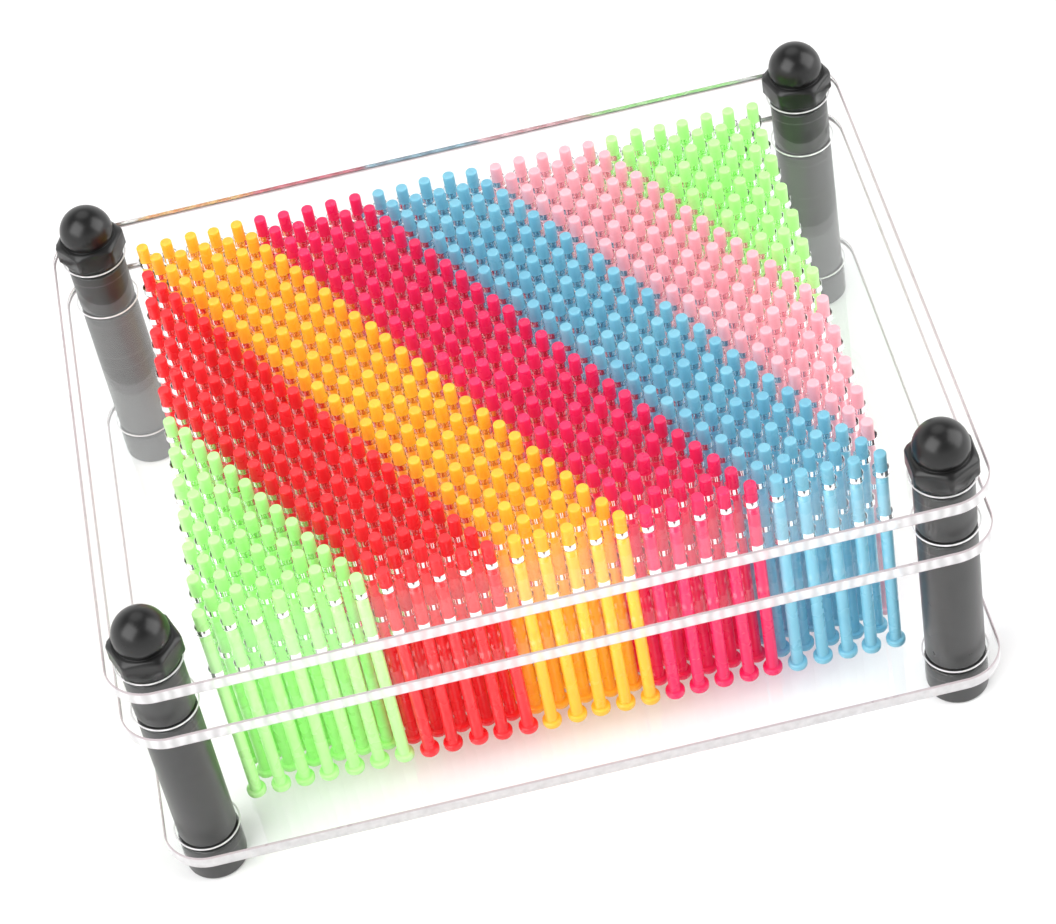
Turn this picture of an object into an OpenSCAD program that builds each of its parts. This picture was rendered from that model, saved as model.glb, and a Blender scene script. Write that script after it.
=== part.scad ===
/* [Plates] */
// Length of each clear plate, left to right
plate_l = 125; // [123:1:140]
// Depth of each clear plate, front to rear
plate_w = 97; // [95:1:110]
// Thickness of each clear plate
plate_t = 2.2; // [1.6:0.1:3.5]
// Distance from a plate edge to the centre of the post beside it
post_inset = 6.5; // [6:0.1:7]
// Clear gap between the top plate and the guide plate
upper_gap = 7.8; // [5:0.1:12]
// Clear gap between the guide plate and the base plate
lower_gap = 25.6; // [18:0.1:40]

/* [Posts] */
// Outer diameter of the spacer tubes
tube_d = 8.8; // [8:0.1:10]
// Diameter of the long bolts
bolt_d = 4; // [3:0.5:5]
// Width across the flats of the cap nuts
nut_af = 9.4; // [9:0.1:10.5]
// Height of the hexagon of the cap nuts
nut_hex_h = 4.1; // [3:0.1:5]
// Diameter of the dome of the cap nuts
dome_d = 8.2; // [7.5:0.1:8.6]
// Height of the cap nuts
nut_h = 9.2; // [8.8:0.1:12]
// Diameter of the round feet
foot_d = 9.2; // [8.8:0.1:11]
// Height of the round feet
foot_h = 5.5; // [2.6:0.1:8]

/* [Pins] */
// Distance between neighbouring pins, the same in all six directions
pitch = 3.7; // [3.4:0.05:3.75]
// Diameter of a pin's shaft
pin_d = 1.8; // [1.5:0.05:1.9]
// Diameter of the head at the lower end of a pin
head_d = 2.9; // [2.7:0.05:3.2]
// Thickness of that head
head_t = 1.2; // [0.9:0.1:2]
// Height of the pin tips above the top plate
tip_h = 2.9; // [2:0.1:8]
// Diameter of the holes that guide the pins
hole_d = 2.3; // [2.1:0.05:2.6]

/* [Hidden] */
$fn = 64;
pin_sides = 24;

// Pins in the front row; the rows behind it have one fewer and as many by turns
long_row = 27;
rows = 25;
row_gap = pitch * sqrt(3) / 2;

// Heights of the plates' undersides above the surface that the feet stand on
base_z = foot_h;
guide_z = base_z + plate_t + lower_gap;
top_z = guide_z + plate_t + upper_gap;
nut_z = top_z + plate_t;

bolt_hole_d = bolt_d + 0.4;
tube_bore_d = bolt_d + 0.4;
tube_chamfer = 0.35;
nut_wall = 1.6;
cut_margin = 1;
nut_chamfer_angle = 30;
nut_washer_d = nut_af * 0.97;
nut_washer_h = 0.4;
nut_washer_bevel = 0.3;
nut_clearance = 0.4;
foot_chamfer = 0.5;
bolt_chamfer = 0.3;

// A pin's head stands this far clear of the base plate
head_clearance = 0.05;
pin_bottom_z = base_z + plate_t + head_clearance;
pin_len = nut_z + tip_h - pin_bottom_z;
head_round = 0.35;
tip_chamfer = 0.2;

// Each post: its name, its side in X and Y, and how far its nut is turned
POSTS = [
    ["front_left", -1, -1, -9],
    ["front_right", 1, -1, 30],
    ["rear_left", -1, 1, 6],
    ["rear_right", 1, 1, -12],
];

// The colour bands from the front left corner to the rear right one
BANDS = [
    ["left_green", 7, [0.6, 1.0, 0.5]],
    ["red", 5, [1.0, 0.18, 0.2]],
    ["yellow", 5, [1.0, 0.82, 0.2]],
    ["crimson", 5, [0.98, 0.18, 0.38]],
    ["blue", 5, [0.45, 0.78, 0.9]],
    ["pink", 5, [1.0, 0.66, 0.74]],
    ["right_green", 7, [0.6, 1.0, 0.5]],
];

// Every slanting line of pins: its band, its number in the band, its place among all the lines
LINES = [for (b = [0:len(BANDS) - 1]) for (n = [1:BANDS[b][1]]) [b, n, first_line(b) + n - 1]];

function post_node(kind, p) = str(kind, "_", p[0]);
function first_line(b) = b == 0 ? 0 : first_line(b - 1) + BANDS[b - 1][1];
function line_node(l) = str(BANDS[l[0]][0], "_pins_", l[1]);

// Centres of the pins of one row, which is staggered by half a pitch when its number is odd
function row_x(r, i) = (i + (r % 2) / 2 - (long_row - 1) / 2) * pitch;
function row_y(r) = ((rows - 1) / 2 - r) * row_gap;
function row_count(r) = long_row - r % 2;

// The pins of line k are the ones whose slanting index is k, counted from the front left corner
function slant(r, i) = i + (r % 2) / 2 - r / 2 + (rows - 1) / 2;
function line_pins(k) = [
    for (r = [0:rows - 1])
        for (i = [0:row_count(r) - 1])
            if (slant(r, i) == k) [row_x(r, i), row_y(r)]
];

module at_post(p) {
    translate([p[1] * (plate_l / 2 - post_inset), p[2] * (plate_w / 2 - post_inset)]) children();
}

module at_posts() {
    for (p = POSTS) {
        at_post(p) children();
    }
}

// Outline of a plate: a rectangle with its corners rounded about the posts
module plate_outline() {
    square([plate_l - 2 * post_inset, plate_w], center = true);
    square([plate_l, plate_w - 2 * post_inset], center = true);
    at_posts() circle(r = post_inset);
}

module plate(drilled) {
    linear_extrude(plate_t) difference() {
        plate_outline();
        at_posts() circle(d = bolt_hole_d);
        if (drilled) {
            for (r = [0:rows - 1]) {
                for (i = [0:row_count(r) - 1]) {
                    translate([row_x(r, i), row_y(r)]) circle(d = hole_d, $fn = pin_sides);
                }
            }
        }
    }
}

module top_plate() {
    color([0.9, 0.95, 0.97, 0.35]) translate([0, 0, top_z]) plate(true);
}

module guide_plate() {
    color([0.9, 0.95, 0.97, 0.35]) translate([0, 0, guide_z]) plate(true);
}

module base_plate() {
    color([0.9, 0.95, 0.97, 0.35]) translate([0, 0, base_z]) plate(false);
}

// Hexagon of a cap nut with its corners turned down, over a thin round washer face
module nut_hexagon() {
    corner_r = nut_af / 2 / cos(30);
    drop = (corner_r - dome_d / 2) * tan(nut_chamfer_angle);
    intersection() {
        cylinder(h = nut_hex_h, r = corner_r, $fn = 6);
        rotate_extrude() polygon([
            [0, 0],
            [nut_washer_d / 2, 0],
            [nut_washer_d / 2, nut_washer_h],
            [corner_r, nut_washer_h + nut_washer_bevel],
            [corner_r, nut_hex_h - drop],
            [dome_d / 2, nut_hex_h],
            [0, nut_hex_h],
        ]);
    }
}

// Cap nut: a hexagon under a short drum and a hemisphere, with a blind bore for the bolt
module cap_nut(p) {
    color([0.13, 0.13, 0.14]) at_post(p) translate([0, 0, nut_z]) rotate([0, 0, p[3]]) difference() {
        union() {
            nut_hexagon();
            cylinder(h = nut_h - dome_d / 2, d = dome_d);
            translate([0, 0, nut_h - dome_d / 2]) sphere(d = dome_d);
        }
        translate([0, 0, -cut_margin]) cylinder(h = nut_h - nut_wall + cut_margin, d = bolt_d);
    }
}

// Spacer tube with a small chamfer at both ends
module spacer(h) {
    rotate_extrude() polygon([
        [tube_bore_d / 2, 0],
        [tube_d / 2 - tube_chamfer, 0],
        [tube_d / 2, tube_chamfer],
        [tube_d / 2, h - tube_chamfer],
        [tube_d / 2 - tube_chamfer, h],
        [tube_bore_d / 2, h],
    ]);
}

module short_spacer(p) {
    color([0.24, 0.24, 0.25]) at_post(p) translate([0, 0, guide_z + plate_t]) spacer(upper_gap);
}

module long_spacer(p) {
    color([0.24, 0.24, 0.25]) at_post(p) translate([0, 0, base_z + plate_t]) spacer(lower_gap);
}

// Long bolt whose round, straight sided head is the foot
module foot_bolt(p) {
    shank_h = nut_z + nut_h - nut_wall - nut_clearance;
    color([0.2, 0.2, 0.21]) at_post(p) rotate_extrude() polygon([
        [0, 0],
        [foot_d / 2 - foot_chamfer, 0],
        [foot_d / 2, foot_chamfer],
        [foot_d / 2, foot_h - bolt_chamfer],
        [foot_d / 2 - bolt_chamfer, foot_h],
        [bolt_d / 2, foot_h],
        [bolt_d / 2, shank_h - bolt_chamfer],
        [bolt_d / 2 - bolt_chamfer, shank_h],
        [0, shank_h],
    ]);
}

// One pin, standing on its head
module pin() {
    rotate_extrude($fn = pin_sides) polygon([
        [0, 0],
        [head_d / 2 - head_round, 0],
        [head_d / 2, head_round],
        [head_d / 2, head_t - head_round],
        [head_d / 2 - head_round, head_t],
        [pin_d / 2, head_t],
        [pin_d / 2, pin_len - tip_chamfer],
        [pin_d / 2 - tip_chamfer, pin_len],
        [0, pin_len],
    ]);
}

// One slanting line of loose pins of a single colour
module pin_line(l) {
    color(BANDS[l[0]][2]) translate([0, 0, pin_bottom_z]) {
        for (c = line_pins(l[2])) {
            translate(c) pin();
        }
    }
}

top_plate();
guide_plate();
base_plate();
for (p = POSTS) cap_nut(p);
for (p = POSTS) short_spacer(p);
for (p = POSTS) long_spacer(p);
for (p = POSTS) foot_bolt(p);
for (l = LINES) pin_line(l);
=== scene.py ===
import math
import random

import bmesh
import bpy
from mathutils import Matrix, Vector
from mathutils.geometry import delaunay_2d_cdt


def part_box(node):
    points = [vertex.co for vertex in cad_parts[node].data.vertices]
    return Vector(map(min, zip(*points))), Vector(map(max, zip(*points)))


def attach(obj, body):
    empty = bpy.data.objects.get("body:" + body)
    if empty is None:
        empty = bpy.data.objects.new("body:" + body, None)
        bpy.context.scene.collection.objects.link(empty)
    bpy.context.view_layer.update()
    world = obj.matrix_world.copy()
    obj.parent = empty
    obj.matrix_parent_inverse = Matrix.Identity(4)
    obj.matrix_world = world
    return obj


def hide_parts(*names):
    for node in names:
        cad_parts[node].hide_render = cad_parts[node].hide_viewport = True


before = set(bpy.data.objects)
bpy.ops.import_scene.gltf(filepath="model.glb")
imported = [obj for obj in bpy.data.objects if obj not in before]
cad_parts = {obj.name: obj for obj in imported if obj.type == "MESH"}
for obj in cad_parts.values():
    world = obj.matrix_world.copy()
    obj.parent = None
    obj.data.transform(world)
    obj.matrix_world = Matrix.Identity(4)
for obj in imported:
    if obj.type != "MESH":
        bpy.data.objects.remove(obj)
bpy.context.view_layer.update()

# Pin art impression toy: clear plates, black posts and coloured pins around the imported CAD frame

MM = 0.001
SCENE = bpy.context.scene

# The camera's aim and its angles in degrees, which are those of the reference view
AIM = Vector((1.8, 0.0, 22.3)) * MM
CAMERA_DISTANCE = 493.7 * MM
CAMERA_AZIMUTH = -2.09
CAMERA_ELEVATION = 46.21
CAMERA_ROLL = 11.63
FOCAL_LENGTH_MM = 111.2
SENSOR_MM = 36.0

FLOOR_SIZE = 3.0
# Heights, as a direction's Z, where the pale walls end and where the grey ceiling starts
WALL_TOP = 0.2
CEILING = 0.65
WALL_LIGHT = 1.2
CEILING_LIGHT = 0.25
# A soft edged glow above and behind the object, which the plates mirror; its radii are in degrees
GLOW_TOWARDS = (0.0, 0.5, 0.866)
GLOW_INNER = 16.0
GLOW_OUTER = 25.0
GLOW_LIGHT = 1.3

# Part of the light that a pin's surface lets through, and how strongly that light takes on its colour
SHADOW_SHARE = 0.88
TINT_POWER = 0.12
# Part of a rim's painted light veil that is left when it is seen from inside the plate; 1 makes both sides
# alike
INSIDE_PAINTED_VEIL = 0.15

# What the soft boxes point at, and each one's name, place, size in metres and power in watts
LIGHT_AIM = (0, 0, 0.02)
SOFT_BOXES = (
    ("key_light", (-0.6, -0.35, 0.75), 0.9, 9.0),
    ("fill_light", (0.7, -0.1, 0.5), 0.8, 5.5),
)

# Distance between neighbouring pins, and between the rows that they stand in
PITCH = 3.7 * MM
ROW_GAP = PITCH * math.sqrt(3) / 2
PIN_SEGMENTS = 20
LATHE_SEGMENTS = 96
POSTS = ("front_left", "front_right", "rear_left", "rear_right")

# Black plastics: the two near blacks of their patches, then the scale and the strength of the grain
BLACKS = {
    "nut_black": (0.003, 0.006, 4000.0, 0.08),
    "tube_black": (0.035, 0.05, 6000.0, 0.2),
    "foot_black": (0.03, 0.045, 6000.0, 0.2),
}
BLACK_ROUGHNESS = 0.3
ROUGHNESS_SPREAD = 0.06

# Colour bands in the frame's node names, with the pins' own colour and a second, deeper shade
PIN_COLOURS = {
    "left_green": ((0.52, 0.96, 0.36), (0.40, 0.90, 0.24)),
    "red": ((0.86, 0.028, 0.038), (0.66, 0.01, 0.015)),
    "yellow": ((0.92, 0.54, 0.045), (0.92, 0.40, 0.02)),
    "crimson": ((0.83, 0.022, 0.13), (0.66, 0.01, 0.08)),
    "blue": ((0.22, 0.52, 0.65), (0.13, 0.40, 0.56)),
    "pink": ((0.90, 0.49, 0.54), (0.88, 0.37, 0.44)),
    "right_green": ((0.52, 0.96, 0.36), (0.40, 0.90, 0.24)),
}


# ---------------------------------------------------------------- materials

def new_material(name):
    """A node material with an empty tree apart from its output."""
    material = bpy.data.materials.new(name)
    material.use_nodes = True
    tree = material.node_tree
    tree.nodes.clear()
    output = tree.nodes.new("ShaderNodeOutputMaterial")
    return material, tree, output


def principled(tree, **values):
    """A Principled shader with these socket values."""
    shader = tree.nodes.new("ShaderNodeBsdfPrincipled")
    for name, value in values.items():
        shader.inputs[name.replace("_", " ")].default_value = value
    return shader


def noise(tree, scale, detail=2.0, roughness=0.5):
    """Noise over the object's own coordinates, which are metres."""
    coords = tree.nodes.new("ShaderNodeTexCoord")
    texture = tree.nodes.new("ShaderNodeTexNoise")
    texture.inputs["Scale"].default_value = scale
    texture.inputs["Detail"].default_value = detail
    texture.inputs["Roughness"].default_value = roughness
    tree.links.new(coords.outputs["Object"], texture.inputs["Vector"])
    return texture


def spread(tree, source, low, high):
    """Maps a 0 to 1 value to low to high."""
    node = tree.nodes.new("ShaderNodeMapRange")
    node.inputs["To Min"].default_value = low
    node.inputs["To Max"].default_value = high
    tree.links.new(source, node.inputs["Value"])
    return node.outputs["Result"]


def add_bump(tree, height, shader, strength, distance):
    """Small relief from a height value."""
    bump = tree.nodes.new("ShaderNodeBump")
    bump.inputs["Strength"].default_value = strength
    bump.inputs["Distance"].default_value = distance
    tree.links.new(height, bump.inputs["Height"])
    tree.links.new(bump.outputs["Normal"], shader.inputs["Normal"])


def two_tone(tree, source, first, second):
    """A colour between two, by a 0 to 1 value."""
    ramp = tree.nodes.new("ShaderNodeValToRGB")
    ramp.color_ramp.elements[0].color = (*first, 1.0)
    ramp.color_ramp.elements[1].color = (*second, 1.0)
    tree.links.new(source, ramp.inputs["Fac"])
    return ramp.outputs["Color"]


def product(tree, first, second):
    """Multiplies a value by another value, or by a number."""
    node = tree.nodes.new("ShaderNodeMath")
    node.operation = "MULTIPLY"
    tree.links.new(first, node.inputs[0])
    if isinstance(second, float):
        node.inputs[1].default_value = second
    else:
        tree.links.new(second, node.inputs[1])
    return node.outputs["Value"]


def mixed(tree, share, first, second):
    """A mix of two shaders that has this share of the second."""
    node = tree.nodes.new("ShaderNodeMixShader")
    tree.links.new(share, node.inputs["Fac"])
    tree.links.new(first.outputs["BSDF"], node.inputs[1])
    tree.links.new(second.outputs["BSDF"], node.inputs[2])
    return node.outputs["Shader"]


def painted_pin_stripes(tree):
    """Uneven stripes across X, two for each pitch of the pins: painted light and shade, standing in for the
    lighter and darker pins seen through a rim.
    """
    coords = tree.nodes.new("ShaderNodeTexCoord")
    texture = tree.nodes.new("ShaderNodeTexWave")
    texture.bands_direction = "X"
    # a wave of this texture is 2 pi / 20 of its scale long
    texture.inputs["Scale"].default_value = 2 * math.pi / (20 * PITCH / 2)
    texture.inputs["Distortion"].default_value = 3.0
    texture.inputs["Detail Scale"].default_value = 2.0
    tree.links.new(coords.outputs["Object"], texture.inputs["Vector"])
    return texture


def acrylic_material():
    """Clear cast acrylic with faint polishing waves."""
    material, tree, output = new_material("clear_acrylic")
    shader = principled(
        tree, Base_Color=(0.985, 0.995, 0.99, 1.0), Roughness=0.0, IOR=1.49, Transmission_Weight=1.0
    )
    waves = noise(tree, scale=60.0, detail=1.0)
    add_bump(tree, waves.outputs["Fac"], shader, strength=0.05, distance=0.0002)
    tree.links.new(shader.outputs["BSDF"], output.inputs["Surface"])
    return material


def acrylic_rim_painted_light_material(name, striped):
    """The plates' cut edges: the same acrylic under a pale, faintly pink veil of painted light, which
    stands in for the light that reflection inside the plate brings to its edges; striped on the drilled
    plates.
    """
    material, tree, output = new_material(name)
    shader = principled(
        tree, Base_Color=(0.99, 0.985, 0.99, 1.0), Roughness=0.1, IOR=1.49, Transmission_Weight=1.0
    )
    marks_and_painted_veil = noise(tree, scale=900.0, detail=4.0)
    tree.links.new(spread(tree, marks_and_painted_veil.outputs["Fac"], low=0.02, high=0.2), shader.inputs["Roughness"])
    add_bump(tree, marks_and_painted_veil.outputs["Fac"], shader, strength=0.1, distance=0.0002)
    # the veil is painted light: a pale diffuse layer in place of the light carried inside the plate
    painted_light_veil = principled(tree, Base_Color=(0.97, 0.95, 0.96, 1.0), Roughness=0.4)
    # on the drilled plates the painted veil is striped: painted light and shade of the pins seen through
    # the rim
    if striped:
        painted_veil_share = spread(tree, painted_pin_stripes(tree).outputs["Fac"], low=0.58, high=0.76)
    else:
        painted_veil_share = spread(tree, marks_and_painted_veil.outputs["Fac"], low=0.5, high=0.75)
    # a device of the looks: from inside the plate a rim keeps less of its painted light veil and is
    # clearer, so the rear one shows the pins' colours
    side = tree.nodes.new("ShaderNodeNewGeometry")
    kept = spread(tree, side.outputs["Backfacing"], low=1.0, high=INSIDE_PAINTED_VEIL)
    tree.links.new(mixed(tree, product(tree, painted_veil_share, kept), shader, painted_light_veil), output.inputs["Surface"])
    return material


def arris_painted_reflection_material():
    """The narrow broken edges of the plates, which look like thin greyish pink lines; that greyish pink is
    painted reflection, standing in for the pins and the shade that the clear edges mirror.
    """
    material, tree, output = new_material("acrylic_arris_painted_reflection")
    # the greyish pink base colour is painted reflection of the pins and of shade in the clear edges
    shader = principled(
        tree, Base_Color=(0.5, 0.43, 0.45, 1.0), Roughness=0.3, IOR=1.49, Transmission_Weight=0.1
    )
    wear = noise(tree, scale=300.0, detail=3.0)
    tree.links.new(spread(tree, wear.outputs["Fac"], low=0.2, high=0.4), shader.inputs["Roughness"])
    tree.links.new(shader.outputs["BSDF"], output.inputs["Surface"])
    return material


def black_plastic_material(name):
    """Moulded black plastic: two near blacks in soft patches, uneven gloss and a fine grain."""
    low, high, grain_scale, grain = BLACKS[name]
    material, tree, output = new_material(name)
    shader = principled(tree, Roughness=BLACK_ROUGHNESS, IOR=1.5)
    patches = noise(tree, scale=350.0, detail=4.0).outputs["Fac"]
    tree.links.new(two_tone(tree, patches, (low,) * 3, (high,) * 3), shader.inputs["Base Color"])
    gloss = spread(tree, patches, BLACK_ROUGHNESS - ROUGHNESS_SPREAD, BLACK_ROUGHNESS + ROUGHNESS_SPREAD)
    tree.links.new(gloss, shader.inputs["Roughness"])
    fine = noise(tree, grain_scale, detail=3.0)
    add_bump(tree, fine.outputs["Fac"], shader, grain, distance=0.00005)
    tree.links.new(shader.outputs["BSDF"], output.inputs["Surface"])
    return material


def pin_material(name, colour, deep):
    """Translucent coloured plastic: each pin a slightly different shade, with soft light inside."""
    material, tree, output = new_material(name)
    shader = principled(
        tree,
        Roughness=0.28,
        IOR=1.5,
        Subsurface_Weight=0.6,
        Subsurface_Radius=(1.0, 1.0, 1.0),
        Subsurface_Scale=0.0012,
    )
    island = tree.nodes.new("ShaderNodeNewGeometry")
    swirl = noise(tree, scale=220.0, detail=3.0).outputs["Fac"]
    shade = product(tree, island.outputs["Random Per Island"], swirl)
    tree.links.new(two_tone(tree, shade, colour, deep), shader.inputs["Base Color"])
    tree.links.new(spread(tree, swirl, low=0.2, high=0.36), shader.inputs["Roughness"])
    add_bump(tree, swirl, shader, strength=0.08, distance=0.0001)
    # light passes through a pin and takes on its colour
    let_through = tree.nodes.new("ShaderNodeBsdfTransparent")
    let_through.inputs["Color"].default_value = (*(channel ** TINT_POWER for channel in colour), 1.0)
    path = tree.nodes.new("ShaderNodeLightPath")
    share = product(tree, path.outputs["Is Shadow Ray"], SHADOW_SHARE)
    tree.links.new(mixed(tree, share, shader, let_through), output.inputs["Surface"])
    return material


def floor_material():
    """Plain pale surface."""
    material, tree, output = new_material("floor_white")
    shader = principled(tree, Base_Color=(0.93, 0.93, 0.93, 1.0), Roughness=0.7)
    tree.links.new(shader.outputs["BSDF"], output.inputs["Surface"])
    return material


# ---------------------------------------------------------------- mesh helpers

def finish_piece(name, mesh_builder, material, body, nodes):
    """Turns a bmesh into a piece that rides on a body and stands for its CAD nodes."""
    mesh = bpy.data.meshes.new(name)
    mesh_builder.normal_update()
    mesh_builder.to_mesh(mesh)
    mesh_builder.free()
    piece = bpy.data.objects.new(name, mesh)
    SCENE.collection.objects.link(piece)
    mesh.materials.append(material)
    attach(piece, body)
    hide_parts(*nodes)
    return piece


def circle(centre, radius, segments, turn=0.0):
    """Points of a circle, counter-clockwise from the direction turn."""
    angles = [turn + 2 * math.pi * s / segments for s in range(segments)]
    return [(centre[0] + radius * math.cos(a), centre[1] + radius * math.sin(a)) for a in angles]


def ring(builder, centre, radius, segments, turn=0.0):
    """A ring of vertices around a vertical axis."""
    return [builder.verts.new((x, y, centre[2])) for x, y in circle(centre, radius, segments, turn)]


def join_rings(builder, lower, upper):
    """A smooth band of quads between two rings, facing outwards when upper lies above lower."""
    faces = []
    for s in range(len(lower)):
        t = (s + 1) % len(lower)
        face = builder.faces.new((lower[s], lower[t], upper[t], upper[s]))
        face.smooth = True
        faces.append(face)
    return faces


def lathe(builder, profile, place, segments):
    """Revolves a profile of (radius, height) from bottom to top; place maps a height to the axis point."""
    rings = []
    for radius, height in profile:
        centre = place(height)
        if radius == 0:
            rings.append([builder.verts.new(centre)])
        else:
            rings.append(ring(builder, centre, radius, segments))
    for lower, upper in zip(rings, rings[1:]):
        if len(lower) == 1:
            for s in range(segments):
                builder.faces.new((lower[0], upper[(s + 1) % segments], upper[s])).smooth = True
        elif len(upper) == 1:
            for s in range(segments):
                builder.faces.new((lower[s], lower[(s + 1) % segments], upper[0])).smooth = True
        else:
            join_rings(builder, lower, upper)


def arc(centre, radius, start, end, steps):
    """Points of a profile along an arc, by angle in degrees."""
    return [
        (
            centre[0] + radius * math.cos(math.radians(start + (end - start) * s / steps)),
            centre[1] + radius * math.sin(math.radians(start + (end - start) * s / steps)),
        )
        for s in range(steps + 1)
    ]


# ---------------------------------------------------------------- plates

# The rounding of a plate's edges, and where it bends, as a part of its width
PLATE_BEVEL = 0.22 * MM
BEVEL_BEND = 0.3
HOLE_RADIUS = 1.15 * MM
HOLE_BEVEL = 0.07 * MM
HOLE_SEGMENTS = 24
POST_HOLE_RADIUS = 2.2 * MM
POST_HOLE_SEGMENTS = 48
CORNER_STEPS = 14
# The painted highlight about each post: a thin pale ring standing for the bright line of light where a post
# meets a plate
PAINTED_RING_RADIUS = 4.85 * MM
RING_THICKNESS = 0.13 * MM
RING_STEPS = 10
# Material slots of a plate after its own clear one
RIM_SLOT = 1
ARRIS_SLOT = 2
# How far in from its edge a plate's rim reaches, as a part of the corners' radius
RIM_MARGIN = 0.3
# A face is flat when its normal's Z is above the first value, and upright when it is below the second
FLAT = 0.99
UPRIGHT = 0.1
SHARP_ANGLE = 40
# Points nearer than this are one; the second value is in millimetres
JOIN_DISTANCE = 0.01 * MM
FILL_TOLERANCE_MM = 1e-6


def node_centre(node):
    """The middle of a node's box."""
    low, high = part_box(node)
    return (low + high) / 2


def corner_radius():
    """The plates' corners are round about the posts."""
    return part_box("base_plate")[1].x - node_centre("long_spacer_front_right").x


def outline(inset):
    """The plate's rounded rectangle, counter-clockwise, drawn in by inset."""
    low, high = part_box("base_plate")
    radius = corner_radius()
    points = []
    for x, y, start in (
        (high.x - radius, high.y - radius, 0),
        (low.x + radius, high.y - radius, 90),
        (low.x + radius, low.y + radius, 180),
        (high.x - radius, low.y + radius, 270),
    ):
        points += arc((x, y), radius - inset, start, start + 90, CORNER_STEPS)
    return points


def pin_lines():
    """Every pin line's node with the centres of its pins, read from its box."""
    lines = {}
    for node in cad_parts:
        if "_pins_" not in node:
            continue
        low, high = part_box(node)
        half_head = (high.x - low.x - (high.y - low.y) / ROW_GAP * PITCH / 2) / (2 - PITCH / ROW_GAP)
        first = Vector((low.x + half_head, high.y - half_head, low.z))
        count = round((high.y - low.y - 2 * half_head) / ROW_GAP) + 1
        lines[node] = [first + Vector((PITCH / 2, -ROW_GAP, 0)) * n for n in range(count)]
    return lines


def wall(builder, levels, inward):
    """Joins loops of (points, height) into a wall and returns its first and last loops of vertices."""
    loops = [[builder.verts.new((x, y, z)) for x, y in points] for points, z in levels]
    for lower, upper in zip(loops, loops[1:]):
        count = len(lower)
        for s in range(count):
            t = (s + 1) % count
            corners = (lower[s], lower[t], upper[t], upper[s])
            builder.faces.new(reversed(corners) if inward else corners)
    return loops[0], loops[-1]


def inside(point, loop):
    """Whether a point lies inside a closed loop of vertices."""
    within = False
    for start, end in zip(loop, loop[1:] + loop[:1]):
        a = start.co
        b = end.co
        if (a.y > point.y) != (b.y > point.y):
            within ^= point.x < a.x + (point.y - a.y) / (b.y - a.y) * (b.x - a.x)
    return within


def cell_points(centre):
    """The hexagonal cell about one hole, a point for each of the hole's own points."""
    points = []
    for s in range(HOLE_SEGMENTS):
        angle = 2 * math.pi * s / HOLE_SEGMENTS
        from_side = (angle + math.pi / 6) % (math.pi / 3) - math.pi / 6
        radius = PITCH / 2 / math.cos(from_side)
        points.append((centre[0] + radius * math.cos(angle), centre[1] + radius * math.sin(angle)))
    return points


def fill_cells(builder, centres, hole_loops, height, up):
    """Surrounds every pin hole with its cell and returns the loop about all the cells."""
    new = []
    cells = []
    for centre, hole in zip(centres, hole_loops):
        cell = [builder.verts.new((x, y, height)) for x, y in cell_points(centre)]
        new += cell
        for s in range(HOLE_SEGMENTS):
            t = (s + 1) % HOLE_SEGMENTS
            corners = (hole[s], cell[s], cell[t], hole[t])
            cells.append(builder.faces.new(corners if up else reversed(corners)))
    bmesh.ops.remove_doubles(builder, verts=new, dist=JOIN_DISTANCE)
    rim = {}
    for face in cells:
        for edge in face.edges:
            if len(edge.link_faces) > 1:
                continue
            for vertex in edge.verts:
                rim.setdefault(vertex, []).append(edge.other_vert(vertex))
    first = min(rim, key=lambda v: (v.co.y, v.co.x))
    loop = [first]
    last = first
    here = rim[first][0]
    while here is not first:
        loop.append(here)
        ahead = [v for v in rim[here] if v is not last]
        last = here
        here = ahead[0]
    return loop


def fill_margin(builder, loops, up):
    """Fills a flat face between its outer loop, which comes first, and the loops inside it."""
    corners = [vertex for loop in loops for vertex in loop]
    edges = []
    start = 0
    for loop in loops:
        count = len(loop)
        edges += [(start + s, start + (s + 1) % count) for s in range(count)]
        start += count
    flat = [Vector((v.co.x, v.co.y)) / MM for v in corners]
    _, _, triangles, sources, _, _ = delaunay_2d_cdt(flat, edges, [], 0, FILL_TOLERANCE_MM)
    for triangle in triangles:
        points = [corners[sources[t][0]] for t in triangle]
        middle = sum((v.co for v in points), Vector()) / 3
        if any(inside(middle, loop) for loop in loops[1:]):
            continue
        face = builder.faces.new(points)
        face.normal_update()
        if (face.normal.z > 0) != up:
            face.normal_flip()


def hole_wall(builder, centre, radius, segments, bottom, top):
    """A drilled hole with bevelled rims; returns its lower and its upper loop."""
    wide = circle(centre, radius + HOLE_BEVEL, segments)
    narrow = circle(centre, radius, segments)
    return wall(builder, [
        (wide, bottom),
        (narrow, bottom + HOLE_BEVEL),
        (narrow, top - HOLE_BEVEL),
        (wide, top),
    ], inward=True)


def add_painted_highlight_ring(builder, centre, height):
    """A painted highlight: a thin ring in the rim's pale material, standing in for the bright ring of light
    seen about each post where it meets a plate's upper face.
    """
    rings = []
    for s in range(RING_STEPS):
        angle = 2 * math.pi * s / RING_STEPS
        radius = PAINTED_RING_RADIUS + RING_THICKNESS * math.cos(angle)
        place = (centre.x, centre.y, height + RING_THICKNESS * math.sin(angle))
        rings.append(ring(builder, place, radius, LATHE_SEGMENTS))
    for lower, upper in zip(rings, rings[1:] + rings[:1]):
        for face in join_rings(builder, lower, upper):
            face.material_index = RIM_SLOT


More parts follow.
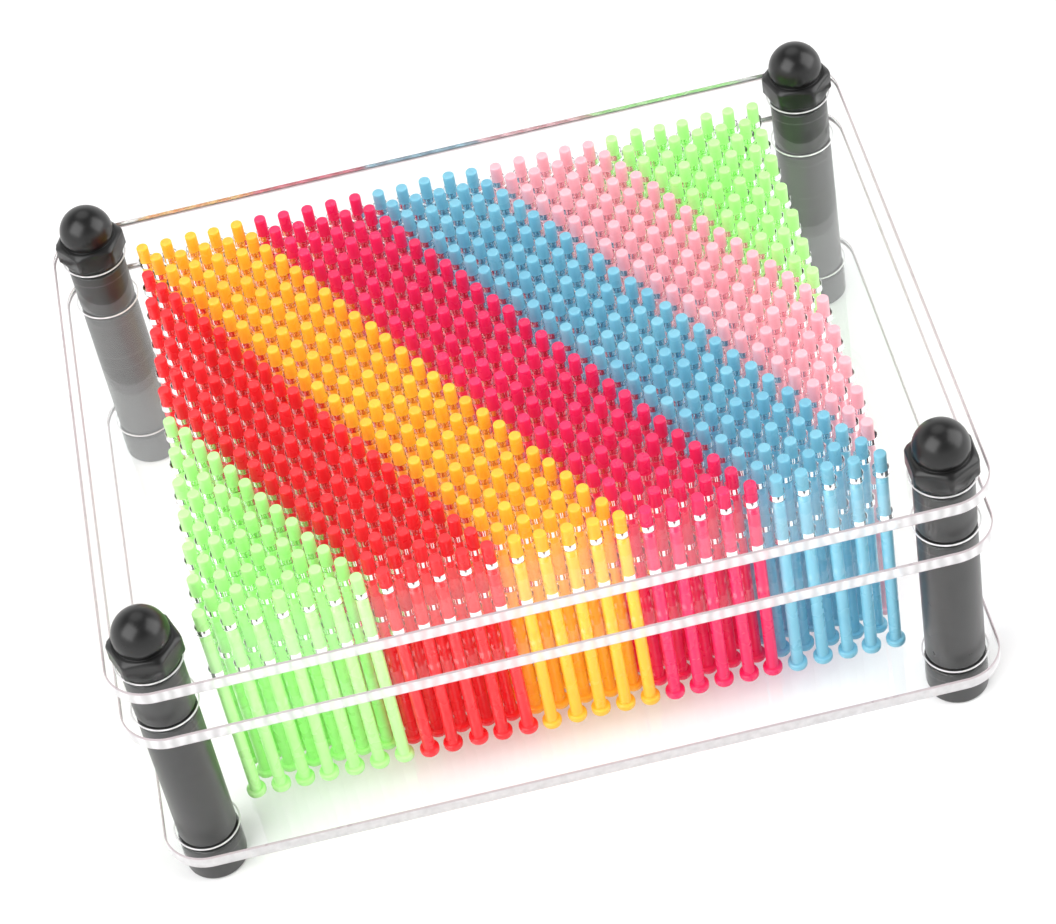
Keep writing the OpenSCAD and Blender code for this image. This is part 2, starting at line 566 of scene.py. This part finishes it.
def build_plate(node, hole_centres, material, painted_light_rim_material, painted_reflection_arris_material):
    """A polished plate with bevelled rims and bevelled holes."""
    low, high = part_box(node)
    bend = PLATE_BEVEL * BEVEL_BEND
    builder = bmesh.new()
    first, last = wall(builder, [
        (outline(PLATE_BEVEL), low.z),
        (outline(bend), low.z + bend),
        (outline(0), low.z + PLATE_BEVEL),
        (outline(0), high.z - PLATE_BEVEL),
        (outline(bend), high.z - bend),
        (outline(PLATE_BEVEL), high.z),
    ], inward=False)
    bottoms = [first]
    tops = [last]
    pin_bottoms = []
    pin_tops = []
    for post in POSTS:
        first, last = hole_wall(
            builder, node_centre("long_spacer_" + post), POST_HOLE_RADIUS, POST_HOLE_SEGMENTS, low.z, high.z
        )
        bottoms.append(first)
        tops.append(last)
    for centre in hole_centres:
        first, last = hole_wall(builder, centre, HOLE_RADIUS, HOLE_SEGMENTS, low.z, high.z)
        pin_bottoms.append(first)
        pin_tops.append(last)
    if hole_centres:
        bottoms.append(fill_cells(builder, hole_centres, pin_bottoms, low.z, False))
        tops.append(fill_cells(builder, hole_centres, pin_tops, high.z, True))
    fill_margin(builder, bottoms, False)
    fill_margin(builder, tops, True)
    builder.normal_update()
    reach_x = (high.x - low.x) / 2
    reach_y = (high.y - low.y) / 2
    margin = corner_radius() * RIM_MARGIN
    for face in builder.faces:
        face.smooth = abs(face.normal.z) < FLAT
        place = face.calc_center_median()
        at_rim = max(abs(place.x) - reach_x, abs(place.y) - reach_y) > -margin
        if not at_rim or abs(face.normal.z) > FLAT:
            continue
        face.material_index = ARRIS_SLOT if abs(face.normal.z) > UPRIGHT else RIM_SLOT
    # each post gets its painted highlight ring on the plate's upper face
    for post in POSTS:
        add_painted_highlight_ring(builder, node_centre("long_spacer_" + post), high.z)
    for edge in builder.edges:
        edge.smooth = edge.is_manifold and edge.calc_face_angle(0) < math.radians(SHARP_ANGLE)
    plate = finish_piece(node + "_polished", builder, material, "housing", [node])
    plate.data.materials.append(painted_light_rim_material)
    plate.data.materials.append(painted_reflection_arris_material)
    plate.visible_shadow = False


# ---------------------------------------------------------------- posts

RIM_ROUND = 0.3 * MM
FOOT_ROUND = 0.5 * MM
ROUND_STEPS = 6
BOLT_RADIUS = 2.0 * MM
MERGE_DISTANCE = 1e-7

# Cap nuts, and how far each one is turned, in degrees
NUT_TURNS = {"front_left": -9.0, "front_right": 30.0, "rear_left": 6.0, "rear_right": -12.0}
NUT_FLAT_RADIUS = 4.7 * MM
NUT_CORNER_RADIUS = NUT_FLAT_RADIUS / math.cos(math.pi / 6)
NUT_CORNER_ROUND = 0.12 * MM
# Angle in radians to each side of a corner over which it is rounded
NUT_CORNER_REACH = 0.2
NUT_HEX_HEIGHT = 4.1 * MM
NUT_SEGMENTS = 144
NUT_WALL = 1.6 * MM
DOME_RADIUS = 4.1 * MM
DOME_STEPS = 26
DOME_END = 88
# Levels of the hexagon: height, and the greatest radius that the wall has there
NUT_LEVELS = (
    (0.0, NUT_FLAT_RADIUS * 0.96),
    (0.35 * MM, NUT_FLAT_RADIUS * 0.96),
    (0.45 * MM, NUT_FLAT_RADIUS * 0.99),
    (0.9 * MM, NUT_CORNER_RADIUS),
    (2.9 * MM, NUT_CORNER_RADIUS),
    (3.35 * MM, NUT_CORNER_RADIUS * 0.985),
    (3.7 * MM, NUT_CORNER_RADIUS * 0.945),
    (3.95 * MM, NUT_FLAT_RADIUS * 0.955),
    (NUT_HEX_HEIGHT, NUT_FLAT_RADIUS * 0.91),
)
# The groove under the dome: radius and height
NUT_GROOVE = (
    (DOME_RADIUS * 0.965, NUT_HEX_HEIGHT - 0.08 * MM),
    (DOME_RADIUS * 0.95, NUT_HEX_HEIGHT),
    (DOME_RADIUS * 0.985, NUT_HEX_HEIGHT + 0.25 * MM),
)


def build_turned_post_piece(node, profile, material):
    """A piece of a post that is round about its axis; the profile's heights start at its lowest point."""
    centre = node_centre(node)
    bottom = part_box(node)[0].z
    builder = bmesh.new()
    lathe(builder, profile, lambda h: Vector((centre.x, centre.y, bottom + h)), LATHE_SEGMENTS)
    bmesh.ops.remove_doubles(builder, verts=builder.verts, dist=MERGE_DISTANCE)
    finish_piece(node + "_moulded", builder, material, "housing", [node])


def build_spacer(node, material):
    """A tube with rounded rims and its bore."""
    low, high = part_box(node)
    radius = (high.x - low.x) / 2
    height = high.z - low.z
    profile = [(POST_HOLE_RADIUS, 0)]
    profile += arc((radius - RIM_ROUND, RIM_ROUND), RIM_ROUND, -90, 0, ROUND_STEPS)
    profile += arc((radius - RIM_ROUND, height - RIM_ROUND), RIM_ROUND, 0, 90, ROUND_STEPS)
    profile += [(POST_HOLE_RADIUS, height), (POST_HOLE_RADIUS, 0)]
    build_turned_post_piece(node, profile, material)


def build_foot(node, material):
    """The round, straight sided head of a long bolt, and its shank."""
    low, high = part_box(node)
    radius = (high.x - low.x) / 2
    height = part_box("base_plate")[0].z - low.z
    top = high.z - low.z
    profile = [(0, 0)]
    profile += arc((radius - FOOT_ROUND, FOOT_ROUND), FOOT_ROUND, -90, 0, ROUND_STEPS)
    profile += arc((radius - RIM_ROUND, height - RIM_ROUND), RIM_ROUND, 0, 90, ROUND_STEPS)
    profile += [(BOLT_RADIUS, height), (BOLT_RADIUS, top - RIM_ROUND)]
    profile += [(BOLT_RADIUS - RIM_ROUND, top), (0, top)]
    build_turned_post_piece(node, profile, material)


def nut_radius(angle):
    """Distance of the hexagon's side from its centre at an angle, with its corners rounded off."""
    local = (angle + math.pi / 6) % (math.pi / 3) - math.pi / 6
    side = NUT_FLAT_RADIUS / math.cos(math.pi / 6 - abs(local))
    if abs(local) >= NUT_CORNER_REACH:
        return side
    return min(side, NUT_CORNER_RADIUS - NUT_CORNER_ROUND * (1 - (local / NUT_CORNER_REACH) ** 2))


def hexagon_ring(builder, centre, height, limit, turn):
    """A ring of vertices along the nut's hexagon, nowhere further out than limit."""
    loop = []
    for s in range(NUT_SEGMENTS):
        angle = 2 * math.pi * s / NUT_SEGMENTS
        radius = min(nut_radius(angle), limit)
        x = centre.x + radius * math.cos(angle + turn)
        y = centre.y + radius * math.sin(angle + turn)
        loop.append(builder.verts.new((x, y, height)))
    return loop


def build_cap_nut(post, material):
    """Hexagon with turned-down corners, a groove, the dome, and a blind bore."""
    node = "cap_nut_" + post
    low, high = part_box(node)
    centre = node_centre("long_spacer_" + post)
    top = high.z - low.z
    turn = math.radians(NUT_TURNS[post])
    builder = bmesh.new()
    rings = [hexagon_ring(builder, centre, low.z + height, limit, turn) for height, limit in NUT_LEVELS]
    profile = [*NUT_GROOVE, *arc((0, top - DOME_RADIUS), DOME_RADIUS, 0, DOME_END, DOME_STEPS)]
    for radius, height in profile:
        rings.append(ring(builder, (centre.x, centre.y, low.z + height), radius, NUT_SEGMENTS, turn))
    for lower, upper in zip(rings, rings[1:]):
        join_rings(builder, lower, upper)
    apex = builder.verts.new((centre.x, centre.y, low.z + top))
    for s in range(NUT_SEGMENTS):
        builder.faces.new((rings[-1][s], rings[-1][(s + 1) % NUT_SEGMENTS], apex)).smooth = True
    mouth = ring(builder, (centre.x, centre.y, low.z), BOLT_RADIUS, NUT_SEGMENTS, turn)
    end = ring(builder, (centre.x, centre.y, low.z + top - NUT_WALL), BOLT_RADIUS, NUT_SEGMENTS, turn)
    join_rings(builder, mouth, rings[0])
    join_rings(builder, end, mouth)
    builder.faces.new(list(reversed(end)))
    finish_piece(node + "_moulded", builder, material, "housing", [node])


# ---------------------------------------------------------------- pins

SHAFT_RADIUS = 0.9 * MM
HEAD_RADIUS = 1.45 * MM
HEAD_HEIGHT = 1.2 * MM
HEAD_ROUND = 0.38 * MM
HEAD_STEPS = 5
FILLET = 0.12 * MM
FILLET_STEPS = 3
# The tip: its rounded rim, then the radius and the fall of the almost flat crown
TIP_ROUND = 0.22 * MM
TIP_STEPS = 4
CROWN_RADIUS = 0.3 * MM
CROWN_FALL = 0.02 * MM
# How far a pin leans out of true at either end, and how much shorter than its box it may be
HOLE_PLAY = 0.15 * MM
SHORTEST_BY_MM = 0.35
LEAN_SEED = 7


def pin_profile(length):
    """Head with rounded rims, a small fillet, the shaft, and a rounded tip."""
    points = [(0, 0)]
    points += arc((HEAD_RADIUS - HEAD_ROUND, HEAD_ROUND), HEAD_ROUND, -90, 0, HEAD_STEPS)
    points += arc((HEAD_RADIUS - HEAD_ROUND, HEAD_HEIGHT - HEAD_ROUND), HEAD_ROUND, 0, 90, HEAD_STEPS)
    points += arc((SHAFT_RADIUS + FILLET, HEAD_HEIGHT + FILLET), FILLET, 270, 180, FILLET_STEPS)[1:]
    points += [(SHAFT_RADIUS, length * part) for part in (0.25, 0.5, 0.75)]
    points += arc((SHAFT_RADIUS - TIP_ROUND, length - TIP_ROUND), TIP_ROUND, 0, 80, TIP_STEPS)
    points += [(CROWN_RADIUS, length - CROWN_FALL), (0, length)]
    return points


def build_pin_line(node, centres, material, rng):
    """All the pins of one slanting line, each leaning a little in its holes."""
    low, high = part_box(node)
    builder = bmesh.new()
    for centre in centres:
        spin = rng.uniform(0, 2 * math.pi)
        reach = HOLE_PLAY * math.sqrt(rng.random())
        lean = Vector((math.cos(spin), math.sin(spin), 0)) * reach
        length = high.z - low.z - rng.uniform(0, SHORTEST_BY_MM) * MM

        def place(height, centre=centre, lean=lean, length=length):
            return centre + lean * (1 - 2 * height / length) + Vector((0, 0, height))

        lathe(builder, pin_profile(length), place, PIN_SEGMENTS)
    body = node.replace("_pins_", "_line_")
    finish_piece(node + "_moulded", builder, material, body, [node])


# ---------------------------------------------------------------- scene

def place_camera():
    """A camera that looks at AIM from the reference angle, with its small roll."""
    azimuth = math.radians(CAMERA_AZIMUTH)
    elevation = math.radians(CAMERA_ELEVATION)
    back = Vector((
        math.sin(azimuth) * math.cos(elevation),
        -math.cos(azimuth) * math.cos(elevation),
        math.sin(elevation),
    ))
    data = bpy.data.cameras.new("camera")
    data.lens = FOCAL_LENGTH_MM
    data.sensor_width = SENSOR_MM
    camera = bpy.data.objects.new("camera", data)
    SCENE.collection.objects.link(camera)
    turn = back.to_track_quat("Z", "Y").to_matrix().to_4x4()
    roll = Matrix.Rotation(math.radians(-CAMERA_ROLL), 4, "Z")
    camera.matrix_world = Matrix.Translation(AIM + back * CAMERA_DISTANCE) @ turn @ roll
    SCENE.camera = camera


def add_soft_box(name, place, size, power):
    """A square area light that faces LIGHT_AIM."""
    data = bpy.data.lights.new(name, "AREA")
    data.shape = "SQUARE"
    data.size = size
    data.energy = power
    light = bpy.data.objects.new(name, data)
    light.location = place
    light.rotation_euler = (Vector(place) - Vector(LIGHT_AIM)).to_track_quat("Z", "Y").to_euler()
    SCENE.collection.objects.link(light)


def light_scene():
    """Pale walls under a dimmer ceiling, a glow and two soft boxes, as on a white photo table."""
    world = bpy.data.worlds.new("surroundings")
    world.use_nodes = True
    tree = world.node_tree
    background = tree.nodes["Background"]
    coords = tree.nodes.new("ShaderNodeTexCoord")
    axes = tree.nodes.new("ShaderNodeSeparateXYZ")
    tree.links.new(coords.outputs["Generated"], axes.inputs["Vector"])
    walls = tree.nodes.new("ShaderNodeMapRange")
    walls.inputs["From Min"].default_value = WALL_TOP
    walls.inputs["From Max"].default_value = CEILING
    walls.inputs["To Min"].default_value = WALL_LIGHT
    walls.inputs["To Max"].default_value = CEILING_LIGHT
    tree.links.new(axes.outputs["Z"], walls.inputs["Value"])
    nearness = tree.nodes.new("ShaderNodeVectorMath")
    nearness.operation = "DOT_PRODUCT"
    nearness.inputs[1].default_value = Vector(GLOW_TOWARDS).normalized()
    tree.links.new(coords.outputs["Generated"], nearness.inputs[0])
    glow = tree.nodes.new("ShaderNodeMapRange")
    glow.interpolation_type = "SMOOTHSTEP"
    glow.inputs["From Min"].default_value = math.cos(math.radians(GLOW_OUTER))
    glow.inputs["From Max"].default_value = math.cos(math.radians(GLOW_INNER))
    glow.inputs["To Max"].default_value = GLOW_LIGHT
    tree.links.new(nearness.outputs["Value"], glow.inputs["Value"])
    total = tree.nodes.new("ShaderNodeMath")
    total.operation = "ADD"
    tree.links.new(walls.outputs["Result"], total.inputs[0])
    tree.links.new(glow.outputs["Result"], total.inputs[1])
    tree.links.new(total.outputs["Value"], background.inputs["Strength"])
    background.inputs["Color"].default_value = (1.0, 1.0, 1.0, 1.0)
    SCENE.world = world
    SCENE.view_settings.view_transform = "Standard"
    for settings in SOFT_BOXES:
        add_soft_box(*settings)


def add_floor():
    """A plain square under the feet."""
    mesh = bpy.data.meshes.new("floor")
    half = FLOOR_SIZE / 2
    corners = [(-half, -half, 0), (half, -half, 0), (half, half, 0), (-half, half, 0)]
    mesh.from_pydata(corners, [], [(0, 1, 2, 3)])
    floor = bpy.data.objects.new("floor", mesh)
    mesh.materials.append(floor_material())
    SCENE.collection.objects.link(floor)


def build_object():
    """Every piece, in place of its CAD node."""
    acrylic = acrylic_material()
    nut_black = black_plastic_material("nut_black")
    tube_black = black_plastic_material("tube_black")
    foot_black = black_plastic_material("foot_black")
    lines = pin_lines()
    centres = [c for line in lines.values() for c in line]
    drilled_rim_painted_light = acrylic_rim_painted_light_material("acrylic_rim_painted_light_striped", True)
    plain_rim_painted_light = acrylic_rim_painted_light_material("acrylic_rim_painted_light_plain", False)
    arris_painted_reflection = arris_painted_reflection_material()
    build_plate("top_plate", centres, acrylic, drilled_rim_painted_light, arris_painted_reflection)
    build_plate("guide_plate", centres, acrylic, drilled_rim_painted_light, arris_painted_reflection)
    build_plate("base_plate", [], acrylic, plain_rim_painted_light, arris_painted_reflection)
    for post in POSTS:
        build_cap_nut(post, nut_black)
        build_spacer("short_spacer_" + post, tube_black)
        build_spacer("long_spacer_" + post, tube_black)
        build_foot("foot_bolt_" + post, foot_black)
    rng = random.Random(LEAN_SEED)
    materials = {band: pin_material("pin_plastic_" + band, *PIN_COLOURS[band]) for band in PIN_COLOURS}
    for node in sorted(lines):
        band = node.split("_pins_")[0]
        build_pin_line(node, lines[node], materials[band], rng)


place_camera()
light_scene()
add_floor()
build_object()

bpy.context.view_layer.update()
